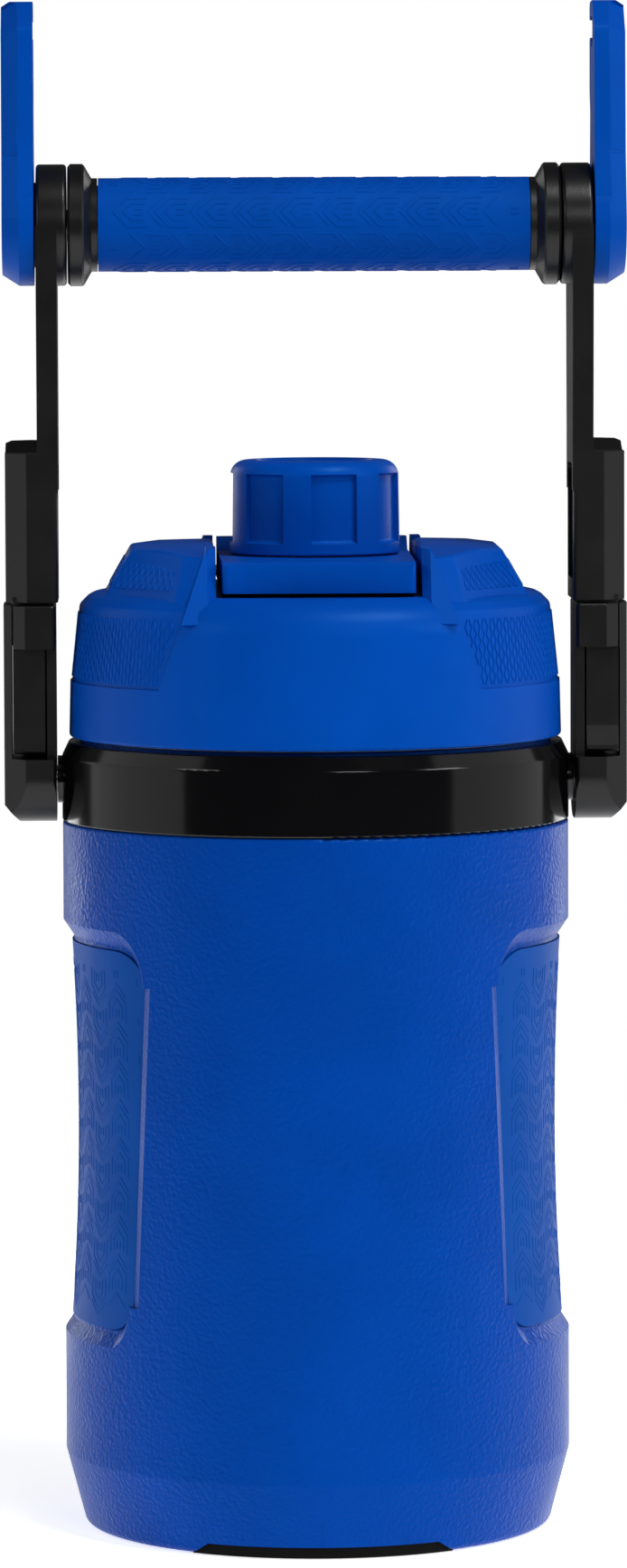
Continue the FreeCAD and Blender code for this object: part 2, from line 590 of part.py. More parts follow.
def make_links():
    x_in, x_out = LINK_X
    link = chamfered_column(x_in, x_out, LINK_HALF, 180, LINK_TOP_Z)
    side = prism_x([(-LINK_HALF, 184.3, 11.5), (LINK_HALF, 184.3, 11.5), (LINK_HALF, 245),
                    (-LINK_HALF, 245)], 60, 90)
    link = link.common(side)
    nose = Part.Face(Part.makePolygon([V(76.5, -20, 184.0), V(85, -20, 184.0), V(85, -20, 191.5),
                                       V(80.95, -20, 189.0), V(76.5, -20, 184.0)])).extrude(V(0, 40, 0))
    link = link.cut(nose)
    link = link.cut(box(69.7, 78.9, -30, LINK_HALF - 1.4, WINDOW_Z, GUIDE_Z))
    link = link.cut(box(60, 90, -30, -LINK_HALF + 3.0, WINDOW_Z, GUIDE_Z))
    link = link.cut(box(TONGUE_X[0] - 0.3, TONGUE_X[1] + 0.3, -TONGUE_HALF - 0.3, TONGUE_HALF + 0.3,
                        GUIDE_Z - 1, LINK_TOP_Z + 1))
    link = link.cut(rod_x(3.65, 60, 77.3, 0, PIVOT_Z)).cut(rod_x(5.15, 77.25, 90, 0, PIVOT_Z))
    link = safe_fillet(link, 0.6, lambda e: abs(e.BoundBox.ZMin - LINK_TOP_Z) < 0.01 and e.Length > 4
                       and max(abs(e.BoundBox.YMin), abs(e.BoundBox.YMax)) > 7.9)
    cover = rod_x(5.05, 79.75, 80.85, 0, PIVOT_Z)
    export("link_right", link)
    export("link_left", mirrored(link))
    export("pivot_covers", Part.makeCompound([cover, mirrored(cover)]))


def make_arms():
    hub = rod_x(HUB_R, 64.0, 71.85, 0, HUB_Z)
    hub = safe_fillet(hub, 0.9, lambda e: e.Length > 50)
    blade = prism_x([(-HOUSING_HALF, 270), (HOUSING_HALF, 270), (HOUSING_HALF, 285),
                     (HUB_R - 0.05, HUB_Z - 4), (HUB_R - 0.05, HUB_Z), (-HUB_R + 0.05, HUB_Z),
                     (-HUB_R + 0.05, HUB_Z - 4), (-HOUSING_HALF, 285)], *ARM_X)
    housing = chamfered_column(HOUSING_X[0], HOUSING_X[1], HOUSING_HALF, 241.7, 290)
    roof = Part.Face(Part.makePolygon([V(60, -20, 200), V(60, -20, 280.0), V(60, 1.5, 280.2),
                                       V(60, 9.0, 283.0), V(60, 20, 283.0), V(60, 20, 200),
                                       V(60, -20, 200)])).extrude(V(30, 0, 0))
    housing = housing.common(roof)
    housing = safe_fillet(housing, 1.2, lambda e: e.BoundBox.ZMin > 279 and e.BoundBox.XMax > 80)
    tongue = box(TONGUE_X[0], TONGUE_X[1], -TONGUE_HALF, TONGUE_HALF, 202.3, 243)
    ramp = Part.Face(Part.makePolygon([V(TONGUE_X[0], -TONGUE_HALF, 209.0), V(TONGUE_X[0], -12.2, 204.0),
                                       V(TONGUE_X[0], -12.2, 203.0), V(TONGUE_X[0], -11.2, 202.3),
                                       V(TONGUE_X[0], 11.2, 202.3), V(TONGUE_X[0], 12.2, 203.0),
                                       V(TONGUE_X[0], 12.2, 204.0), V(TONGUE_X[0], TONGUE_HALF, 209.0),
                                       V(TONGUE_X[0], -TONGUE_HALF, 209.0)]))
    tongue = tongue.fuse(ramp.extrude(V(TONGUE_X[1] - TONGUE_X[0], 0, 0)))
    arm = hub.fuse(blade).fuse(housing).fuse(tongue)
    pocket = prism_x([(-9.5, 247, 2.0), (9.5, 247, 2.0), (9.5, 277, 2.0), (-9.5, 277, 2.0)], 60, 74.5)
    for z in (254.0, 262.0, 270.0):
        pocket = pocket.cut(box(67.8, 80, -20, 20, z - 0.8, z + 0.8))
    arm = arm.cut(pocket)
    arm = arm.cut(rod_x(AXLE_R + 0.06, 60, 75, 0, HUB_Z)).removeSplitter()
    export("arm_right", arm)
    export("arm_left", mirrored(arm))


def make_grip():
    """Grip core with its end flanges, turned about X, and the soft sleeve on it."""
    half = [(0, 10.2), (56.0, 10.2), (56.0, GRIP_R), (57.5, GRIP_R), (59.4, 15.4), (59.9, 15.8), (63.0, 15.8),
            (63.7, 15.0), (63.7, AXLE_R + 0.05), (0, AXLE_R + 0.05)]
    points = [V(x, 0, HUB_Z + r) for x, r in half]
    quarter = Part.Face(Part.makePolygon(points + points[:1]))
    core = both_sides(quarter.revolve(V(0, 0, HUB_Z), V(1, 0, 0), 360)).removeSplitter()
    export("grip_core", core)
    sleeve = rod_x(GRIP_R, -GRIP_HALF, GRIP_HALF, 0, HUB_Z).cut(rod_x(10.3, -60, 60, 0, HUB_Z))
    export("grip_sleeve", sleeve)


def make_hooks():
    x_in, x_out = HOOK_X
    outline = [(-15.6, 0, 0.0), (-11.2, 20.0, 30.0), (-9.6, 50.5, 3.0), (-1.5, 57.7, 4.0), (10.2, 57.2, 2.4),
               (10.2, 52.6, 0.8), (4.2, 52.6, 0.6), (4.2, 53.4, 0.3), (-1.2, 53.4, 2.2), (-1.2, 45.6, 2.2),
               (4.2, 45.6, 1.6), (4.2, 48.0, 0.5), (10.2, 48.0, 1.6), (10.4, 34.0, 6.0), (7.6, 29.0, 6.0),
               (9.2, 14.0, 20.0), (15.6, 0, 0.0)]
    corners = [(y, HUB_Z + z, r) for y, z, r in outline]
    blade = prism_x(corners, x_in, x_out)
    blade = blade.fuse(rod_x(HUB_R, x_in, x_out, 0, HUB_Z)).removeSplitter()
    rim = rod_x(30.0, x_out - BEVEL_X, x_out + 1, 0, HUB_Z)
    cone = Part.makeCone(HUB_R, HUB_R - BEVEL_IN, BEVEL_X, V(x_out - BEVEL_X, 0, HUB_Z), V(1, 0, 0))
    blade = blade.cut(rim.cut(cone).cut(box(60, 90, -40, 40, HUB_Z + 3.0, HUB_Z + 60)))
    front = [(-15.6, 2.0), (-11.6, 18.5), (-9.6, 50.4), (-2.3, 57.3), (10.4, 57.6)]
    for start, end in zip(front[:-2], front[1:-1]):
        blade = blade.cut(bevel_wedge(start, end, x_out))
    blade = blade.cut(bevel_wedge(front[-2], front[-1], x_out, 0.4))
    back = [(10.35, 47.8), (10.45, 34.6), (7.9, 29.2), (8.9, 16.0), (15.6, 0.5)]
    for start, end in zip(back, back[1:]):
        blade = blade.cut(bevel_wedge(start, end, x_out))
    blade = blade.fuse(rod_x(11.0, 71.95, x_in + 0.1, 0, HUB_Z))
    blade = blade.cut(rod_x(AXLE_R + 0.05, 60, 76.2, 0, HUB_Z))
    blade = blade.cut(rod_x(2.2, 75, 90, 0, HUB_Z)).cut(rod_x(5.0, 78.4, 90, 0, HUB_Z))
    export("hook_right", blade)
    export("hook_left", mirrored(blade))


def bevel_wedge(start, end, x_out, share=1.0):
    """Wedge that bevels the outer face of a hook along a line of (y, z) points above the hub axis.

    The bevel is as deep as the main one times share.
    """
    along = V(0, end[0] - start[0], end[1] - start[1])
    length = along.Length
    along.normalize()
    outward = V(0, -along.z, along.y)
    spread = 3.0
    origin = V(x_out, start[0], HUB_Z + start[1]) - along * 0.6
    slope = BEVEL_X / BEVEL_IN
    inward = BEVEL_IN * share
    corners = [origin - outward * (inward + 0.2) + V(0.2 * slope, 0, 0),
               origin + outward * spread + V(0.2 * slope, 0, 0),
               origin + outward * spread - V(slope * (inward + spread), 0, 0)]
    face = Part.Face(Part.makePolygon(corners + corners[:1]))
    return face.extrude(along * (length + 1.2))


def make_axle():
    axle = rod_x(AXLE_R, -76.0, 76.0, 0, HUB_Z)
    for side in (-1, 1):
        axle = axle.cut(Part.makeCylinder(1.7, 14, V(side * 63, 0, HUB_Z), V(side, 0, 0)))
    export("hook_axle", axle)
    screw = rod_x(1.65, 66.0, 78.6, 0, HUB_Z).fuse(rod_x(4.6, 78.5, 80.3, 0, HUB_Z))
    socket = prism_x([(2.0 * math.cos(math.radians(60 * k)), HUB_Z + 2.0 * math.sin(math.radians(60 * k)))
                      for k in range(6)], 79.2, 81.0)
    screw = screw.cut(socket)
    export("hook_screws", Part.makeCompound([screw, mirrored(screw)]))


def main():
    os.makedirs("parts", exist_ok=True)
    for make in (make_shell, make_foam, make_liner, make_pads, make_band, make_foot_ring, make_base_plug, make_pivots,
                 make_gasket, make_lid_shell, make_lid_inner, make_lid_foam, make_spout, make_tether, make_cap,
                 make_links, make_arms, make_grip, make_hooks, make_axle):
        make()


main()
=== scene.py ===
"""Looks of the insulated sports jug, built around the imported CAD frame. Lengths are in metres."""
import bmesh
import bpy
import json
import math
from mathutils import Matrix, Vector


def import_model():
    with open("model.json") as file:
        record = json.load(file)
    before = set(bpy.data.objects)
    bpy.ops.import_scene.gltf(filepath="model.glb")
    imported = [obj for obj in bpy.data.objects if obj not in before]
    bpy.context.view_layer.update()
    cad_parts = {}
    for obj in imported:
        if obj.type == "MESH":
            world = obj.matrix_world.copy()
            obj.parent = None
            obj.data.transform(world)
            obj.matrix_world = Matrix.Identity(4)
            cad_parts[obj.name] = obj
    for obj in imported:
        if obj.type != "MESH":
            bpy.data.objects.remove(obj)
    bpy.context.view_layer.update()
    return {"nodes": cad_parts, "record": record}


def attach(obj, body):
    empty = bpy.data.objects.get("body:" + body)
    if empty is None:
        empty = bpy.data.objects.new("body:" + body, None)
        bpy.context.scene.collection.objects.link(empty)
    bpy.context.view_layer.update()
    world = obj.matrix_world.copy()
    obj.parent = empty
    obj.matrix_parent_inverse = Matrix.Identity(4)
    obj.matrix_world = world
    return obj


# Camera: the photograph's viewpoint, a long lens a little above the hand grip and slightly left of centre
CAMERA_DISTANCE = 1.886
CAMERA_HEIGHT = 0.341
CAMERA_AZIMUTH = math.radians(-1.4)
CAMERA_ROLL = math.radians(-0.22)
AIM = Vector((-0.0005, 0.0, 0.1933))
LENS = 166.4
SENSOR = 36

FLOOR_R = 0.9
FLOOR_DROP = 0.0003                     # gap between the floor and the foot of the jug
FLOOR_GLOW = 0.70
WORLD_FILL = 0.05                       # strength of the even light on the jug
WORLD_SEEN = 1.0                        # strength of the same world where the camera looks at it

# Colours are linear RGB
BLUE_SHELL = (0.0, 0.043, 0.300)
BLUE_LID = (0.0, 0.057, 0.370)
BLUE_HOOK = (0.0, 0.054, 0.350)
BLUE_PAD = (0.0, 0.054, 0.300)
BLUE_GRIP = (0.0, 0.052, 0.330)
BLACK_GLOSS = (0.0015, 0.0015, 0.0020)
BLACK_SATIN = (0.0040, 0.0040, 0.0043)
# Painted shade: black of the piece under the base, which stands in for the contact shadow under the jug
SHADE_BLACK = (0.0030, 0.0030, 0.0030)
LINER_WHITE = (0.75, 0.76, 0.77)
FOAM_YELLOW = (0.75, 0.66, 0.42)
SEAL_GREY = (0.62, 0.62, 0.62)
STEEL_GREY = (0.55, 0.56, 0.58)
BLUE_SHEEN = (0.10, 0.55, 1.0)
BLUE_SHEEN_LEVEL = 0.14

# Unevenness of the moulded plastics: noise scales, the share of the noise's range used, and its strength
POLISH_SCALE = 60.0
POLISH_RANGE = (0.3, 0.7)
PIGMENT_SCALE = 35.0
PIGMENT_RANGE = (0.35, 0.65)
PIGMENT_SPREAD = 0.05


# ---- Materials ---------------------------------------------------------------------------------
def new_material(name, colour, roughness):
    material = bpy.data.materials.new(name)
    material.use_nodes = True
    shader = material.node_tree.nodes["Principled BSDF"]
    shader.inputs["Base Color"].default_value = (*colour, 1)
    shader.inputs["Roughness"].default_value = roughness
    return material, material.node_tree, shader


def noise_node(tree, scale, detail):
    """Noise in the object's own coordinates, so its grain is the same size on every piece."""
    coords = tree.nodes.new("ShaderNodeTexCoord")
    noise = tree.nodes.new("ShaderNodeTexNoise")
    noise.inputs["Scale"].default_value = scale
    noise.inputs["Detail"].default_value = detail
    tree.links.new(coords.outputs["Object"], noise.inputs["Vector"])
    return noise


def vary_roughness(tree, shader, low, high, scale):
    """Slow patches of more and less polish."""
    noise = noise_node(tree, scale, 3.0)
    ramp = tree.nodes.new("ShaderNodeMapRange")
    ramp.inputs["From Min"].default_value = POLISH_RANGE[0]
    ramp.inputs["From Max"].default_value = POLISH_RANGE[1]
    ramp.inputs["To Min"].default_value = low
    ramp.inputs["To Max"].default_value = high
    tree.links.new(noise.outputs["Fac"], ramp.inputs["Value"])
    tree.links.new(ramp.outputs["Result"], shader.inputs["Roughness"])


def vary_colour(tree, shader, colour, spread, scale):
    """Slight unevenness of the pigment."""
    noise = noise_node(tree, scale, 2.0)
    ramp = tree.nodes.new("ShaderNodeValToRGB")
    for stop, position, share in zip(ramp.color_ramp.elements, PIGMENT_RANGE, (1 - spread, 1 + spread)):
        stop.position = position
        stop.color = (*[c * share for c in colour], 1)
    tree.links.new(noise.outputs["Fac"], ramp.inputs["Fac"])
    tree.links.new(ramp.outputs["Color"], shader.inputs["Base Color"])


def add_grain(tree, shader, size, height, strength, pebbled=True):
    """Fine moulded texture as a bump; size and height in metres."""
    coords = tree.nodes.new("ShaderNodeTexCoord")
    if pebbled:
        cells = tree.nodes.new("ShaderNodeTexVoronoi")
        cells.feature = "SMOOTH_F1"
        cells.inputs["Scale"].default_value = 1.0 / size
        output = cells.outputs["Distance"]
    else:
        cells = tree.nodes.new("ShaderNodeTexNoise")
        cells.inputs["Scale"].default_value = 1.0 / size
        cells.inputs["Detail"].default_value = 3.0
        output = cells.outputs["Fac"]
    bump = tree.nodes.new("ShaderNodeBump")
    bump.inputs["Strength"].default_value = strength
    bump.inputs["Distance"].default_value = height
    tree.links.new(coords.outputs["Object"], cells.inputs["Vector"])
    tree.links.new(output, bump.inputs["Height"])
    tree.links.new(bump.outputs["Normal"], shader.inputs["Normal"])


def moulded(name, colour, low, high, grain, height, strength, pebbled=True, specular=0.5,
            tint=(1, 1, 1)):
    """Moulded plastic or rubber: roughness from low to high, and a grain of the given size and height."""
    material, tree, shader = new_material(name, colour, low)
    shader.inputs["Specular IOR Level"].default_value = specular
    shader.inputs["Specular Tint"].default_value = (*tint, 1)
    vary_roughness(tree, shader, low, high, POLISH_SCALE)
    vary_colour(tree, shader, colour, PIGMENT_SPREAD, PIGMENT_SCALE)
    add_grain(tree, shader, grain, height, strength, pebbled)
    return material


def brushed_steel(name):
    """Bare metal of the screws, bolts, hook axle and tether pin."""
    material, tree, shader = new_material(name, STEEL_GREY, 0.28)
    shader.inputs["Metallic"].default_value = 1.0
    vary_roughness(tree, shader, 0.22, 0.38, 300.0)
    add_grain(tree, shader, 0.0006, 0.00003, 0.3, False)
    return material


def blue_plastic(name, colour, low, high, grain, height, strength, pebbled=True):
    """Deep-dyed plastic, whose face-on sheen takes the colour of the dye."""
    return moulded(name, colour, low, high, grain, height, strength, pebbled,
                   BLUE_SHEEN_LEVEL, BLUE_SHEEN)


def make_materials():
    """One material for each slot: colour, lowest and highest roughness, grain size, height and strength."""
    return {
        "shell_blue": blue_plastic("shell_blue", BLUE_SHELL, 0.32, 0.40, 0.0010, 0.0003, 0.8),
        "lid_blue": blue_plastic("lid_blue", BLUE_LID, 0.34, 0.42, 0.0007, 0.00006, 0.2),
        "hook_blue": blue_plastic("hook_blue", BLUE_HOOK, 0.36, 0.44, 0.0007, 0.00006, 0.2),
        "pad_blue": blue_plastic("pad_blue", BLUE_PAD, 0.50, 0.60, 0.0005, 0.00005, 0.3, False),
        "grip_blue": blue_plastic("grip_blue", BLUE_GRIP, 0.50, 0.60, 0.0005, 0.00005, 0.3, False),
        "band_black": moulded("band_black", BLACK_GLOSS, 0.10, 0.15, 0.004, 0.00003, 0.1, False, 0.38),
        "handle_black": moulded("handle_black", BLACK_SATIN, 0.28, 0.36, 0.0006, 0.00005, 0.25, True, 0.32),
        # rubber_black is painted shade: a black piece under the base that stands in for the contact shadow
        # there
        "rubber_black": moulded("rubber_black", SHADE_BLACK, 0.7, 0.8, 0.0005, 0.00003, 0.2, False, 0.1),
        "liner_white": moulded("liner_white", LINER_WHITE, 0.22, 0.3, 0.003, 0.00003, 0.1, False),
        "foam": moulded("foam", FOAM_YELLOW, 0.8, 0.95, 0.0016, 0.0003, 0.8),
        "silicone": moulded("silicone", SEAL_GREY, 0.45, 0.55, 0.001, 0.00003, 0.2, False),
        "steel": brushed_steel("steel"),
    }


def paint_frame(frame, materials):
    """Give each CAD node the material of its slot."""
    for sub in frame["record"]["subparts"]:
        node = frame["nodes"][sub["node"]]
        node.data.materials.clear()
        node.data.materials.append(materials[sub["material_slot"]])


# ---- Raised patterns ---------------------------------------------------------------------------
PAD_REF_R = 0.063                       # radius at which pad pattern widths are measured
PAD_FACE = ((0.0544, 0.0642), (0.1050, 0.0622), (0.1546, 0.0637))    # (height, radius) of the pad face
PAD_LOW, PAD_HIGH = 0.0554, 0.1534
PAD_HALF_LOW, PAD_HALF_HIGH = 0.0413, 0.0453
PAD_CELL = (0.0094, 0.0100)             # width and height of one motif
PAD_COLUMNS = 6                         # columns of motifs on each side of the middle one
PAD_ROWS = 11
PAD_RIDGE = (0.0006, 0.00010)           # width and height of its raised lines
PAD_MARGIN = 0.0022                     # bare strip left along the edge of the pad
PAD_CORNER = 0.006                      # height over which the bare strip widens at top and bottom
PAD_CORNER_SLOPE = 0.8

GRIP_R = 0.0121
GRIP_Z = 0.339
GRIP_ROWS = 8
GRIP_PITCH = 0.0108
GRIP_HALF = 0.0535
GRIP_RIDGE = (0.00055, 0.00014)         # width and height of its raised lines
GRIP_START = 0.35                       # first row of motifs, in rows round from the front

LID_PANEL = ((0.2222, 0.06312), (0.2388, 0.06141))                   # (height, radius) of the side panel
LID_PANEL_HALF = math.radians(57)
CREASE_LOW = (0.0405, 0.2225)           # (x, z) ends of the crease that bounds each side panel
CREASE_HIGH = (0.0298, 0.2534)
CREASE_MARGIN = 0.0012                  # bare strip beside the crease

LID_RIB_PITCH = 0.00145
LID_RIB = (0.0008, 0.00028)             # width and height of a rib
LID_RIB_STEP = 0.0005                   # height between the points of a rib
LID_RIB_POINTS = 5                      # a rib with fewer points than this is left out
WAVE_REACH = 0.00030                    # how far a rib swings to each side of its own line
WAVE_LENGTH = 0.0036

LID_DECK_Z = 0.2445
HUMP_FRONT = (0.0365, -0.0455)          # (x, y) of a shoulder's front corner where it meets the deck
HUMP_OUTER = (0.0540, -0.0205)          # (x, y) of its outer corner there
HUMP_LEAN = 6.2 / 11.0                  # how far its facets lean in for each unit of height
HUMP_FRONT_DRIFT = 0.35                 # share of the lean that the front corner also moves in x
HUMP_OUTER_DRIFT = 0.25                 # and the outer corner in y
HUMP_RIB_FOOT = 0.2460                  # height where the shoulder's ribs start
HUMP_RIB_STEP = 0.0003
HUMP_RIB_STEPS = 40
CROWN_Z = 0.2573                        # top of the domed crown over the shoulders
CROWN_FALL = (1.344, 0.624)             # x and y: the crown falls by distance squared over this
CROWN_MARGIN = 0.0024                   # bare strip under the crown

BASE_R = 0.0608                         # radius of the tapered base at the floor, and how fast it widens
BASE_TAPER = 0.0052 / 0.0196
MOULD_LINE = (0.0034, 0.0100)           # heights of its two ends
MOULD_RIDGE = (0.0006, 0.00015)

RIDGE_SUNK = -0.0001                    # the foot of every raised line lies this far under the surface
RIDGE_HALF_TOP = 0.22                   # half width of its flat top, as a share of its width
RIDGE_STEP = 0.0015                     # longest distance between its points
RIDGE_MITRE = 0.5                       # least cosine used at its corners, so sharp ones stay short

# One arrow motif pointing towards -u, in cell units: (points, relative width)
ARROW_SHIFT = 0.1                       # moves the motif to the middle of its cell
ARROW = (
    (((0.62, 0.40), (0.14, 0.40), (-0.20, 0.0), (0.14, -0.40), (0.62, -0.40)), 1.0),
    (((0.56, 0.23), (0.24, 0.23), (0.02, 0.0), (0.24, -0.23), (0.56, -0.23)), 0.8),
    (((0.50, 0.07), (0.30, 0.07)), 0.7),
    (((0.50, -0.08), (0.30, -0.08)), 0.7),
    (((-0.02, 0.40), (-0.36, 0.0), (-0.02, -0.40)), 1.3),
)


def quadratic(samples, x):
    """Height of the parabola through three (x, y) samples."""
    total = 0.0
    for i, (xi, yi) in enumerate(samples):
        term = yi
        for j, (xj, _) in enumerate(samples):
            if j != i:
                term *= (x - xj) / (xi - xj)
        total += term
    return total


def pad_surface(side):
    """u runs round the pad from its middle; v is the height above the floor."""
    def place(u, v, height):
        radius = quadratic(PAD_FACE, v) + height
        angle = u / PAD_REF_R
        return (side * radius * math.cos(angle), radius * math.sin(angle), v)
    return place


def grip_surface(u, v, height):
    """u runs along the grip; v runs round it, starting at the front."""
    angle = v / GRIP_R
    radius = GRIP_R + height
    return (u, -radius * math.cos(angle), GRIP_Z + radius * math.sin(angle))


def lid_panel_surface(side):
    """u runs round the lid from the middle of its side; v is the height above the floor."""
    (low, low_r), (high, high_r) = LID_PANEL

    def place(u, v, height):
        radius = low_r + (high_r - low_r) * (v - low) / (high - low) + height
        angle = u / low_r
        return (side * radius * math.cos(angle), radius * math.sin(angle), v)
    return place


def subdivided(points, step):
    """The same path with extra points, so that it follows a curved surface."""
    path = [points[0]]
    for start, end in zip(points, points[1:]):
        count = max(1, math.ceil(math.dist(start, end) / step))
        for i in range(1, count + 1):
            t = i / count
            path.append((start[0] + (end[0] - start[0]) * t, start[1] + (end[1] - start[1]) * t))
    return path


def add_ridge(bm, points, size, surface):
    """Raised line with sloping sides along (u, v) points, closed underneath. size is (width, height)."""
    width, height = size
    profile = ((-0.5, RIDGE_SUNK), (-RIDGE_HALF_TOP, height), (RIDGE_HALF_TOP, height), (0.5, RIDGE_SUNK))
    path = [Vector(p) for p in subdivided(points, RIDGE_STEP)]
    rings = []
    for i, here in enumerate(path):
        back = (here - path[i - 1]).normalized() if i > 0 else None
        ahead = (path[i + 1] - here).normalized() if i < len(path) - 1 else None
        along = ((back or ahead) + (ahead or back)).normalized()
        across = Vector((-along.y, along.x))
        stretch = 1.0 / max(RIDGE_MITRE, along.dot(ahead or back))
        ring = []
        for offset, lift in profile:
            spot = here + across * (offset * width * stretch)
            ring.append(bm.verts.new(surface(spot.x, spot.y, lift)))
        rings.append(ring)
    for low, high in zip(rings, rings[1:]):
        for k in range(4):
            bm.faces.new((low[k], low[(k + 1) % 4], high[(k + 1) % 4], high[k]))
    bm.faces.new(rings[0][::-1])
    bm.faces.new(rings[-1])


def finish_piece(name, bm, material, body):
    """Make the finished mesh a piece that follows the given body."""
    bmesh.ops.recalc_face_normals(bm, faces=bm.faces)
    mesh = bpy.data.meshes.new(name)
    bm.to_mesh(mesh)
    bm.free()
    mesh.materials.append(material)
    piece = bpy.data.objects.new(name, mesh)
    bpy.context.scene.collection.objects.link(piece)
    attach(piece, body)


def arrow_at(bm, centre, cell, turn, size, surface, keep):
    """One arrow motif turned by 0, 90, 180 or 270 degrees; lines that keep(u, v) rejects are left out."""
    width, height = size
    c = round(math.cos(math.radians(turn)))
    s = round(math.sin(math.radians(turn)))
    for points, weight in ARROW:
        path = []
        for a, b in points:
            u = a * cell[0] - ARROW_SHIFT * cell[0]
            v = b * cell[1]
            path.append((centre[0] + c * u - s * v, centre[1] + s * u + c * v))
        if all(keep(u, v) for u, v in path):
            add_ridge(bm, path, (width * weight, height), surface)


def inside_pad(u, v):
    """True where a motif stays clear of the rounded edge of a pad."""
    if not PAD_LOW + PAD_MARGIN < v < PAD_HIGH - PAD_MARGIN:
        return False
    share = (v - PAD_LOW) / (PAD_HIGH - PAD_LOW)
    half = PAD_HALF_LOW + share * (PAD_HALF_HIGH - PAD_HALF_LOW)
    reach = abs(quadratic(PAD_FACE, v) * math.sin(u / PAD_REF_R))
    edge = min(v - PAD_LOW, PAD_HIGH - v)
    corner = max(0.0, PAD_CORNER - edge) * PAD_CORNER_SLOPE
    return reach < half - PAD_MARGIN - corner


def pad_pattern(side, name, material):
    """Columns of arrows that point up and down by turns."""
    bm = bmesh.new()
    surface = pad_surface(side)
    wide, tall = PAD_CELL
    for column in range(-PAD_COLUMNS, PAD_COLUMNS + 1):
        for row in range(PAD_ROWS):
            u = column * wide
            v = PAD_LOW + (row + 0.5 + 0.25 * (column % 2)) * tall
            turn = 90 if column % 2 else 270
            arrow_at(bm, (u, v), (tall, wide), turn, PAD_RIDGE, surface, inside_pad)
    finish_piece(name, bm, material, "jug")


def inside_grip(u, v):
    """True where a motif stays clear of the ends of the grip."""
    return abs(u) < GRIP_HALF


def grip_pattern(material):
    """Rows of arrows along the grip that point left and right by turns."""
    bm = bmesh.new()
    around = 2 * math.pi * GRIP_R / GRIP_ROWS
    count = int(2 * GRIP_HALF / GRIP_PITCH)
    for row in range(GRIP_ROWS):
        v = (row + GRIP_START) * around
        turn = 0 if row % 2 == 0 else 180
        for i in range(count + 1):
            u = (i - count / 2) * GRIP_PITCH
            arrow_at(bm, (u, v), (GRIP_PITCH, around), turn, GRIP_RIDGE, grip_surface, inside_grip)
    finish_piece("grip_arrows", bm, material, "handle")


def rib_u(i, v):
    """Place of wavy rib number i at height v: each is out of step with its neighbours."""
    return i * LID_RIB_PITCH + WAVE_REACH * math.sin(2 * math.pi * v / WAVE_LENGTH + math.pi * (i % 2))


def add_rib(bm, path, surface):
    if len(path) >= LID_RIB_POINTS:
        add_ridge(bm, path, LID_RIB, surface)


def lid_panel_ribs(side, name, material):
    """Close wavy ribs on the lid's side panel, which read as a diamond texture."""
    bm = bmesh.new()
    surface = lid_panel_surface(side)
    (low, low_r), (high, _) = LID_PANEL
    slope = (CREASE_LOW[0] - CREASE_HIGH[0]) / (CREASE_HIGH[1] - CREASE_LOW[1])
    count = int(LID_PANEL_HALF * low_r / LID_RIB_PITCH)
    for i in range(-count, count + 1):
        path = []
        for k in range(int((high - low) / LID_RIB_STEP) + 1):
            v = low + k * LID_RIB_STEP
            u = rib_u(i, v)
            crease = CREASE_LOW[0] - slope * (v - CREASE_LOW[1])
            if surface(u, v, 0.0)[0] * side > crease + CREASE_MARGIN:
                path.append((u, v))
        add_rib(bm, path, surface)
    finish_piece(name, bm, material, "lid")


def hump_corners(z):
    """Outline of one lid shoulder at height z on the +X side, from its front corner to its back one."""
    inward = HUMP_LEAN * (z - LID_DECK_Z)
    front = (HUMP_FRONT[0] - HUMP_FRONT_DRIFT * inward, HUMP_FRONT[1] + inward)
    outer = (HUMP_OUTER[0] - inward, HUMP_OUTER[1] + HUMP_OUTER_DRIFT * inward)
    return [front, outer, (outer[0], -outer[1]), (front[0], -front[1])]


def hump_surface(side, facet):
    """Length of one sloping facet at the deck, and its surface; u runs from its first corner."""
    start, end = hump_corners(LID_DECK_Z)[facet:facet + 2]
    length = math.dist(start, end)
    along = ((end[0] - start[0]) / length, (end[1] - start[1]) / length)

    def place(u, v, height):
        first, second = hump_corners(v)[facet:facet + 2]
        share = u / length
        x = first[0] + (second[0] - first[0]) * share + along[1] * height
        y = first[1] + (second[1] - first[1]) * share - along[0] * height
        return (side * x, y, v)
    return length, place


def crown_height(x, y):
    """Height of the domed crown over the lid shoulders at (x, y)."""
    return CROWN_Z - x * x / CROWN_FALL[0] - y * y / CROWN_FALL[1]


def hump_ribs(side, name, material):
    """The same wavy ribs on the three sloping facets of one lid shoulder."""
    bm = bmesh.new()
    for facet in range(3):
        length, surface = hump_surface(side, facet)
        for i in range(2, int(length / LID_RIB_PITCH) - 1):
            path = []
            for k in range(HUMP_RIB_STEPS):
                v = HUMP_RIB_FOOT + k * HUMP_RIB_STEP
                u = rib_u(i, v)
                x, y, _ = surface(u, v, 0.0)
                if v < crown_height(x, y) - CROWN_MARGIN:
                    path.append((u, v))
            add_rib(bm, path, surface)
    finish_piece(name, bm, material, "lid")


def base_surface(side):
    """Flat strip at the front or back of the tapered base: u runs across it, v is the height."""
    def place(u, v, height):
        radius = BASE_R + v * BASE_TAPER + height
        return (u, side * radius, v)
    return place


def mould_line(material):
    """Faint parting line up the front and back of the tapered base."""
    for name, side in (("mould_line_front", -1), ("mould_line_back", 1)):
        bm = bmesh.new()
        add_ridge(bm, [(0.0, v) for v in MOULD_LINE], MOULD_RIDGE, base_surface(side))
        finish_piece(name, bm, material, "jug")


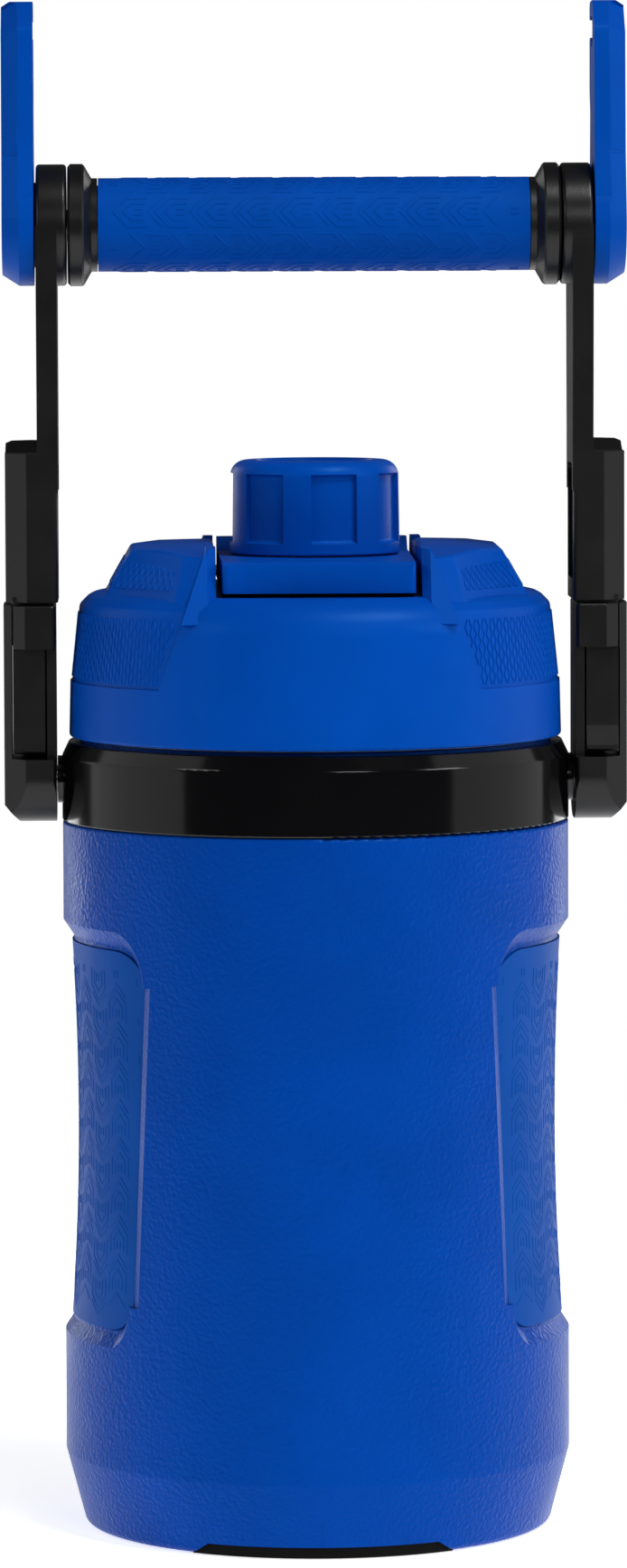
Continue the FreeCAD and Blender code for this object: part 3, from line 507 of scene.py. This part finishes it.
# ---- Camera, floor and light -------------------------------------------------------------------
def add_camera():
    """Camera at the photograph's viewpoint."""
    camera = bpy.data.objects.new("camera", bpy.data.cameras.new("camera"))
    bpy.context.scene.collection.objects.link(camera)
    side = math.sin(CAMERA_AZIMUTH) * CAMERA_DISTANCE
    back = -math.cos(CAMERA_AZIMUTH) * CAMERA_DISTANCE
    camera.location = (side, back, CAMERA_HEIGHT)
    camera.rotation_euler = (AIM - camera.location).to_track_quat("-Z", "Y").to_euler()
    camera.rotation_euler.rotate_axis("Z", CAMERA_ROLL)
    camera.data.sensor_fit = "AUTO"
    camera.data.sensor_width = SENSOR
    camera.data.lens = LENS
    bpy.context.scene.camera = camera


def add_floor():
    """Plain white round of floor under the jug."""
    mesh = bpy.data.meshes.new("floor")
    bm = bmesh.new()
    bmesh.ops.create_circle(bm, cap_ends=True, segments=96, radius=FLOOR_R)
    for vert in bm.verts:
        vert.co.z = -FLOOR_DROP
    bm.to_mesh(mesh)
    bm.free()
    floor = bpy.data.objects.new("floor", mesh)
    bpy.context.scene.collection.objects.link(floor)
    material, _, shader = new_material("floor_white", (0.9, 0.9, 0.9), 0.9)
    shader.inputs["Specular IOR Level"].default_value = 0.0
    shader.inputs["Emission Color"].default_value = (1, 1, 1, 1)
    shader.inputs["Emission Strength"].default_value = FLOOR_GLOW
    mesh.materials.append(material)


# Softboxes: name, place, the point it faces, width, height and power in watts
SOFTBOXES = (
    ("key_high", (0.64, -0.71, 1.85), (0, 0, 0.2), 0.6, 0.45, 24),
    ("key_front", (0.6, -2.1, 1.1), (0, 0, 0.15), 0.6, 0.45, 8),
    ("key_right", (1.5, -0.85, 0.9), (0, 0, 0.15), 0.6, 0.6, 6.5),
    ("fill_left", (-1.3, -0.9, 0.9), (0, 0, 0.15), 0.5, 0.5, 3.5),
    ("panel_left", (-1.2, 0.05, 0.6), (0, 0.05, 0.6), 1.4, 1.5, 4.0),
    ("panel_right", (1.2, 0.05, 0.6), (0, 0.05, 0.6), 1.4, 1.5, 3.6),
    ("rim_left", (-0.9, 1.3, 0.35), (0, 0, 0.15), 0.5, 0.9, 4),
    ("rim_right", (0.9, 1.3, 0.35), (0, 0, 0.15), 0.5, 0.9, 4),
)


def add_area(name, place, target, width, height, power):
    """Rectangular softbox that the camera does not see."""
    data = bpy.data.lights.new(name, "AREA")
    data.shape = "RECTANGLE"
    data.size = width
    data.size_y = height
    data.energy = power
    lamp = bpy.data.objects.new(name, data)
    bpy.context.scene.collection.objects.link(lamp)
    lamp.location = place
    lamp.visible_camera = False
    lamp.rotation_euler = (Vector(target) - Vector(place)).to_track_quat("-Z", "Y").to_euler()


def add_light():
    """White surroundings for the eye, a dim even fill on the jug, and softboxes in front and behind."""
    world = bpy.data.worlds.new("studio")
    bpy.context.scene.world = world
    world.use_nodes = True
    tree = world.node_tree
    fill = tree.nodes["Background"]
    fill.inputs["Color"].default_value = (1, 1, 1, 1)
    fill.inputs["Strength"].default_value = WORLD_FILL
    seen = tree.nodes.new("ShaderNodeBackground")
    seen.inputs["Color"].default_value = (1, 1, 1, 1)
    seen.inputs["Strength"].default_value = WORLD_SEEN
    path = tree.nodes.new("ShaderNodeLightPath")
    mix = tree.nodes.new("ShaderNodeMixShader")
    tree.links.new(path.outputs["Is Camera Ray"], mix.inputs["Fac"])
    tree.links.new(fill.outputs["Background"], mix.inputs[1])
    tree.links.new(seen.outputs["Background"], mix.inputs[2])
    tree.links.new(mix.outputs["Shader"], tree.nodes["World Output"].inputs["Surface"])
    for softbox in SOFTBOXES:
        add_area(*softbox)


def main():
    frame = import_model()
    materials = make_materials()
    paint_frame(frame, materials)
    for side, word in ((1, "right"), (-1, "left")):
        pad_pattern(side, "pad_arrows_" + word, materials["pad_blue"])
        lid_panel_ribs(side, "lid_ribs_" + word, materials["lid_blue"])
        hump_ribs(side, "hump_ribs_" + word, materials["lid_blue"])
    grip_pattern(materials["grip_blue"])
    mould_line(materials["shell_blue"])
    add_camera()
    add_floor()
    add_light()
    scene = bpy.context.scene
    scene.view_settings.view_transform = "Standard"


main()
